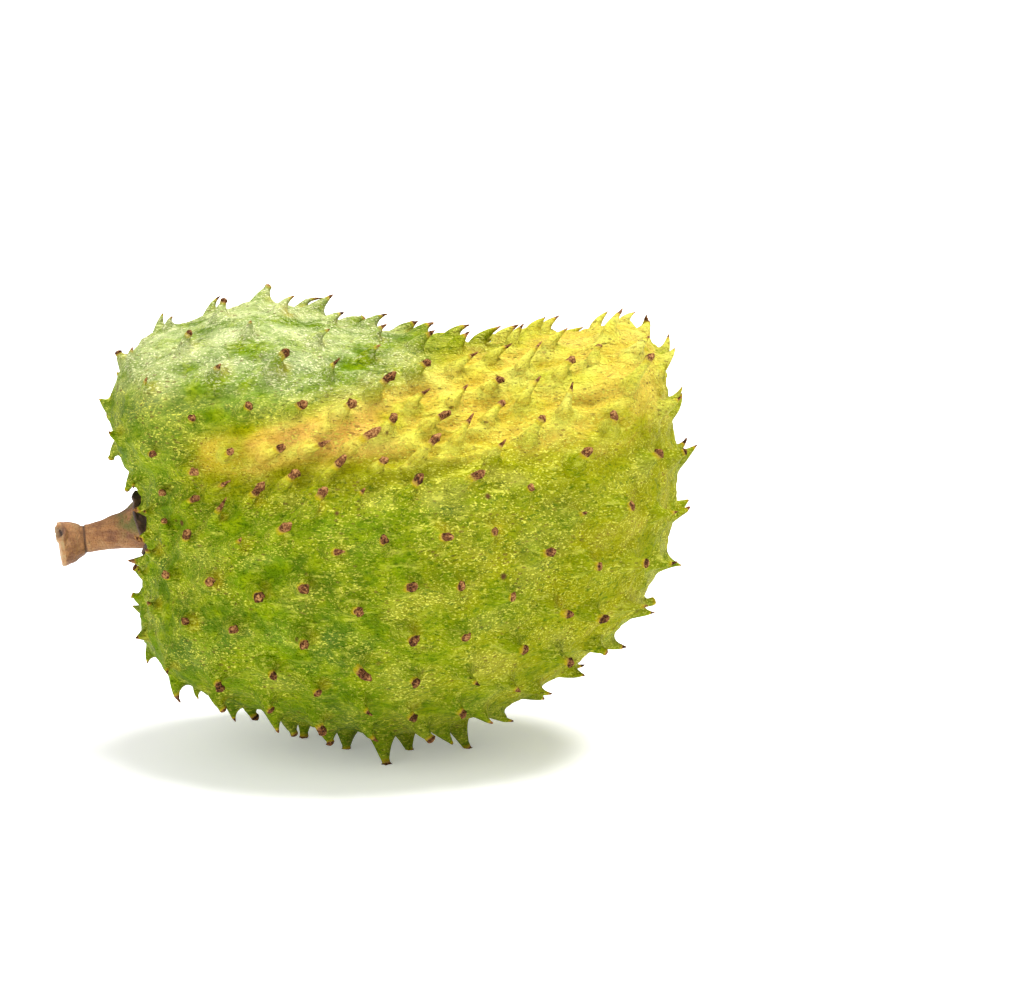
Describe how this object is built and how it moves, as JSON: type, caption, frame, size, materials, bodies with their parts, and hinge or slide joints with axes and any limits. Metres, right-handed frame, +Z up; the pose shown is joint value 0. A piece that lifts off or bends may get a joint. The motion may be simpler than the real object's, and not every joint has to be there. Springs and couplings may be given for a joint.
{
  "type": "soursop",
  "caption": "Whole soursop fruit lying on its side on its spines: a lopsided heart shape with hooked fleshy spines, a cut woody stalk and dried sepals.",
  "frame": {"origin": "on the surface that the fruit lies on, under the middle of its bounding box", "axes": "+X along the fruit from the stalk to the apex, +Z up, +Y to the side that faces away when the stalk is on the left"},
  "size_m": [0.2219, 0.1404, 0.1605],
  "materials": {
    "skin": "satin green and yellow skin with fine pale speckles and brown spine tips",
    "stalk_wood": "matte orange-brown bark with a paler cut end",
    "dried_sepal": "matte dark brown, dried"
  },
  "bodies": {
    "root": {"fruit": "skin", "stalk": "stalk_wood", "sepal_1": "dried_sepal", "sepal_2": "dried_sepal", "sepal_3": "dried_sepal"}
  },
  "joints": []
}
